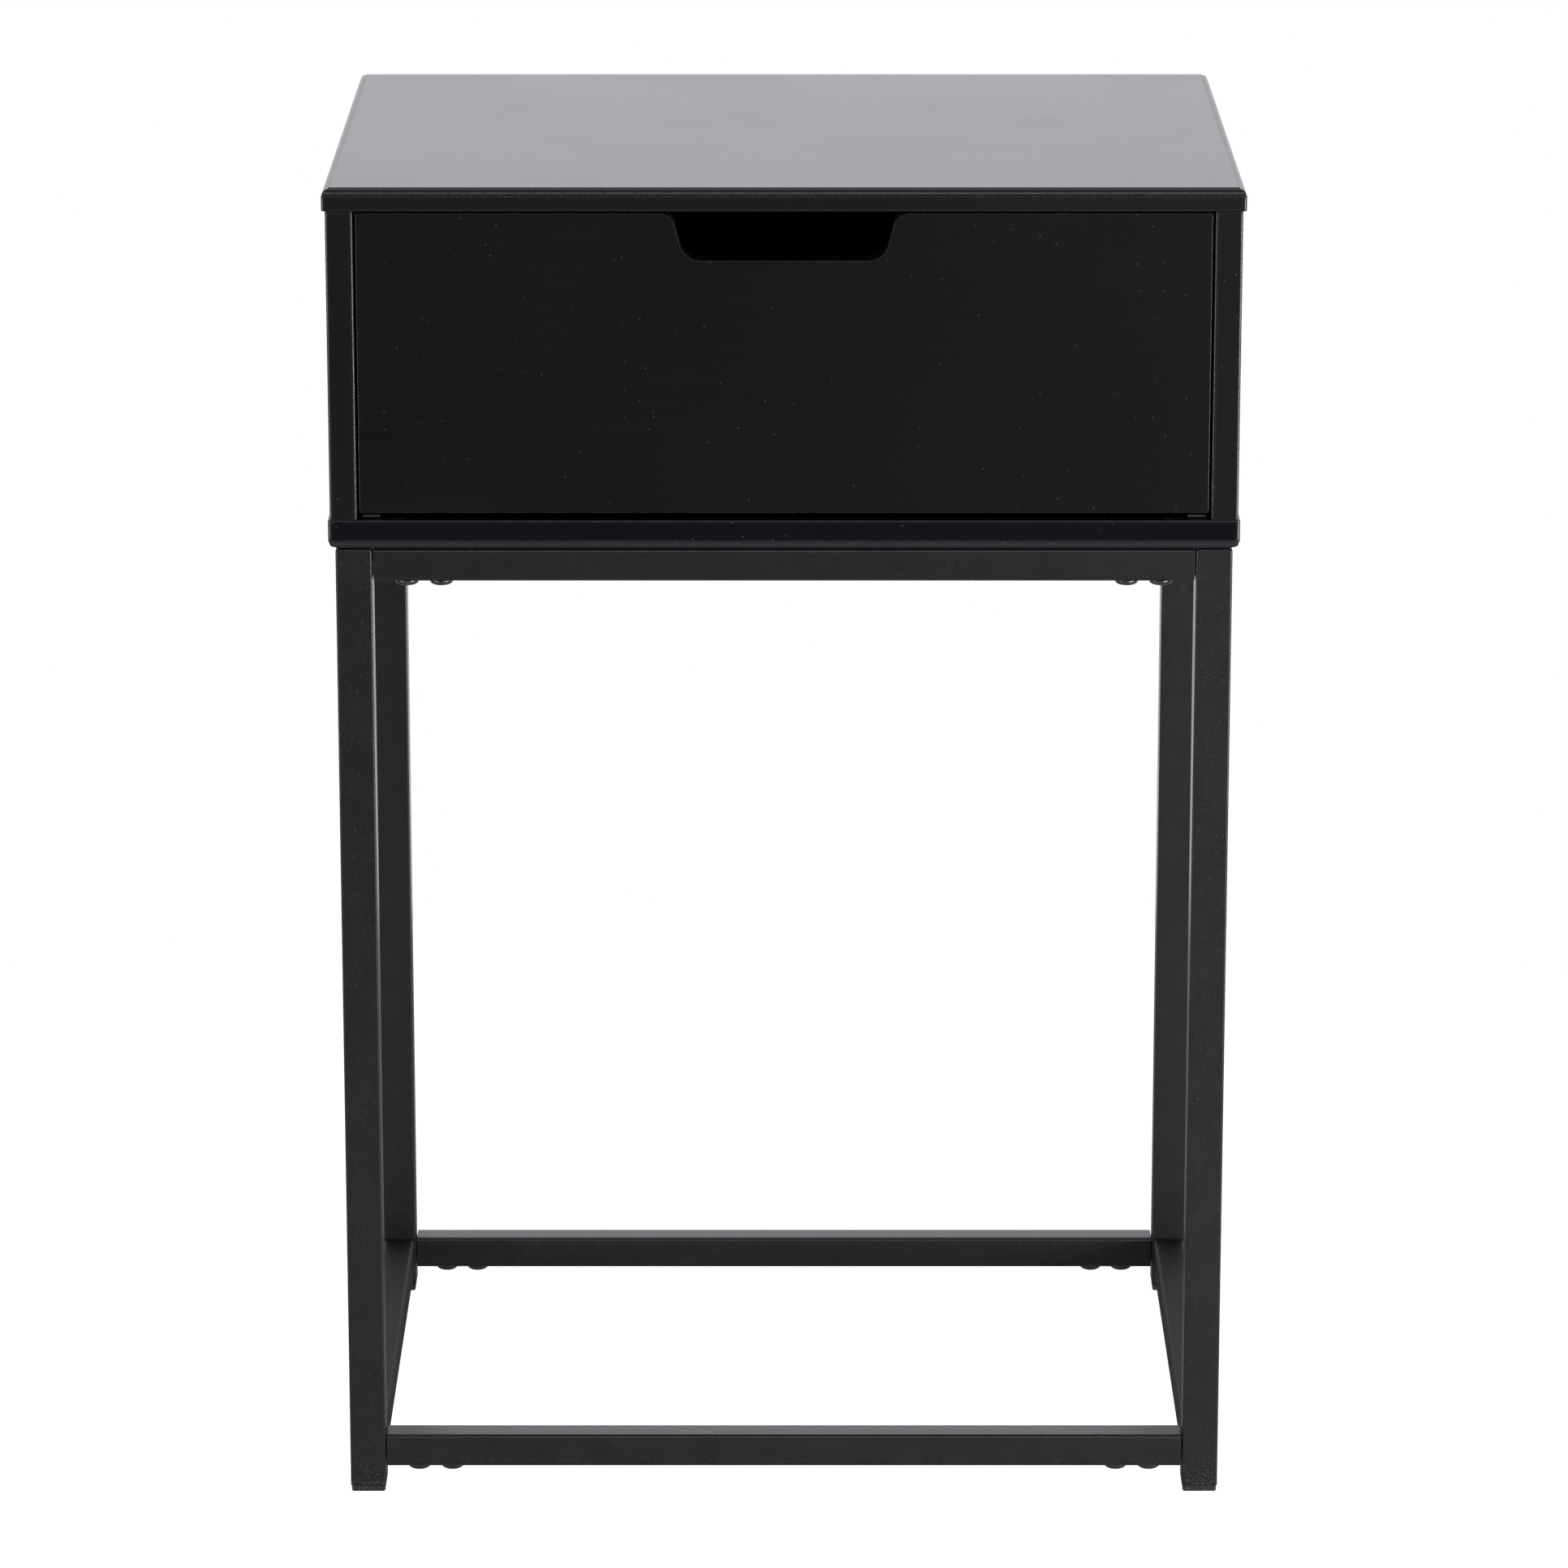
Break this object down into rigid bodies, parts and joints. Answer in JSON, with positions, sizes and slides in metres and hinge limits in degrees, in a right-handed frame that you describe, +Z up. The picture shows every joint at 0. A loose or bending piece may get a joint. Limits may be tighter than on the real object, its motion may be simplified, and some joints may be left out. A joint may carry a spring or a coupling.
{
  "type": "side table with drawer",
  "caption": "Small side table: a black box case with an inset drawer and a cut-out finger grip, standing on a slim square-tube frame.",
  "frame": {"origin": "on the floor, under the middle of the table", "axes": "+Z up through the tabletop, front of the drawer faces -Y, +X to the right as seen from the front"},
  "size_m": [0.4, 0.3, 0.6],
  "materials": {
    "lacquer": "satin black lacquer on fibreboard",
    "grained_lacquer": "satin black with a fine level grain",
    "drawer_box": "matt black foil on board",
    "powder_coat": "fine-texture black powder coat",
    "runner_steel": "grey epoxy-coated sheet steel",
    "roller_plastic": "satin",
    "foot_plastic": "satin black",
    "screw_steel": "blackened steel"
  },
  "bodies": {
    "root": {"top_panel": "lacquer", "bottom_panel": "lacquer", "side_panel_left": "lacquer", "side_panel_right": "lacquer", "back_panel": "lacquer", "leg_front_left": "powder_coat", "leg_front_right": "powder_coat", "leg_rear_left": "powder_coat", "leg_rear_right": "powder_coat", "side_rail_top_left": "powder_coat", "side_rail_top_right": "powder_coat", "side_rail_bottom_left": "powder_coat", "side_rail_bottom_right": "powder_coat", "cross_rail_top_front": "powder_coat", "cross_rail_top_rear": "powder_coat", "cross_rail_bottom_front": "powder_coat", "cross_rail_bottom_rear": "powder_coat", "tongue_top_front_left": "powder_coat", "tongue_top_front_right": "powder_coat", "tongue_top_rear_left": "powder_coat", "tongue_top_rear_right": "powder_coat", "tongue_bottom_front_left": "powder_coat", "tongue_bottom_front_right": "powder_coat", "tongue_bottom_rear_left": "powder_coat", "tongue_bottom_rear_right": "powder_coat", "case_runner_left": "runner_steel", "case_runner_right": "runner_steel", "foot_front_left": "foot_plastic", "foot_front_right": "foot_plastic", "foot_rear_left": "foot_plastic", "foot_rear_right": "foot_plastic", "screw_top_front_left_outer": "screw_steel", "screw_top_front_left_inner": "screw_steel", "screw_top_front_right_outer": "screw_steel", "screw_top_front_right_inner": "screw_steel", "screw_top_rear_left_outer": "screw_steel", "screw_top_rear_left_inner": "screw_steel", "screw_top_rear_right_outer": "screw_steel", "screw_top_rear_right_inner": "screw_steel", "screw_bottom_front_left_outer": "screw_steel", "screw_bottom_front_left_inner": "screw_steel", "screw_bottom_front_right_outer": "screw_steel", "screw_bottom_front_right_inner": "screw_steel", "screw_bottom_rear_left_outer": "screw_steel", "screw_bottom_rear_left_inner": "screw_steel", "screw_bottom_rear_right_outer": "screw_steel", "screw_bottom_rear_right_inner": "screw_steel"},
    "drawer": {"drawer_front": "grained_lacquer", "drawer_side_left": "drawer_box", "drawer_side_right": "drawer_box", "drawer_back": "drawer_box", "drawer_bottom": "drawer_box", "drawer_runner_left": "runner_steel", "drawer_runner_right": "runner_steel"},
    "case_roller_left": {"case_roller_left": "roller_plastic"},
    "case_roller_right": {"case_roller_right": "roller_plastic"},
    "drawer_roller_left": {"drawer_roller_left": "roller_plastic"},
    "drawer_roller_right": {"drawer_roller_right": "roller_plastic"}
  },
  "joints": [
    {"name": "drawer_slide", "type": "slide", "parent": "root", "child": "drawer", "axis": [0, -1, 0], "range_m": [0, 0.21]},
    {"name": "case_roller_left_spin", "type": "hinge", "parent": "root", "child": "case_roller_left", "pos_m": [-0.1811, -0.1257, 0.463], "axis": [1, 0, 0], "range_deg": [0, 1505]},
    {"name": "drawer_roller_left_spin", "type": "hinge", "parent": "drawer", "child": "drawer_roller_left", "pos_m": [-0.1794, 0.1008, 0.4628], "axis": [1, 0, 0], "range_deg": [0, 1505]},
    {"name": "case_roller_right_spin", "type": "hinge", "parent": "root", "child": "case_roller_right", "pos_m": [0.1811, -0.1257, 0.463], "axis": [1, 0, 0], "range_deg": [0, 1505]},
    {"name": "drawer_roller_right_spin", "type": "hinge", "parent": "drawer", "child": "drawer_roller_right", "pos_m": [0.1794, 0.1008, 0.4628], "axis": [1, 0, 0], "range_deg": [0, 1505]}
  ],
  "couplings": [
    {"joint": "case_roller_left_spin", "follows": "drawer_slide", "rad_per_m": 125},
    {"joint": "drawer_roller_left_spin", "follows": "drawer_slide", "rad_per_m": 125},
    {"joint": "case_roller_right_spin", "follows": "drawer_slide", "rad_per_m": 125},
    {"joint": "drawer_roller_right_spin", "follows": "drawer_slide", "rad_per_m": 125}
  ]
}
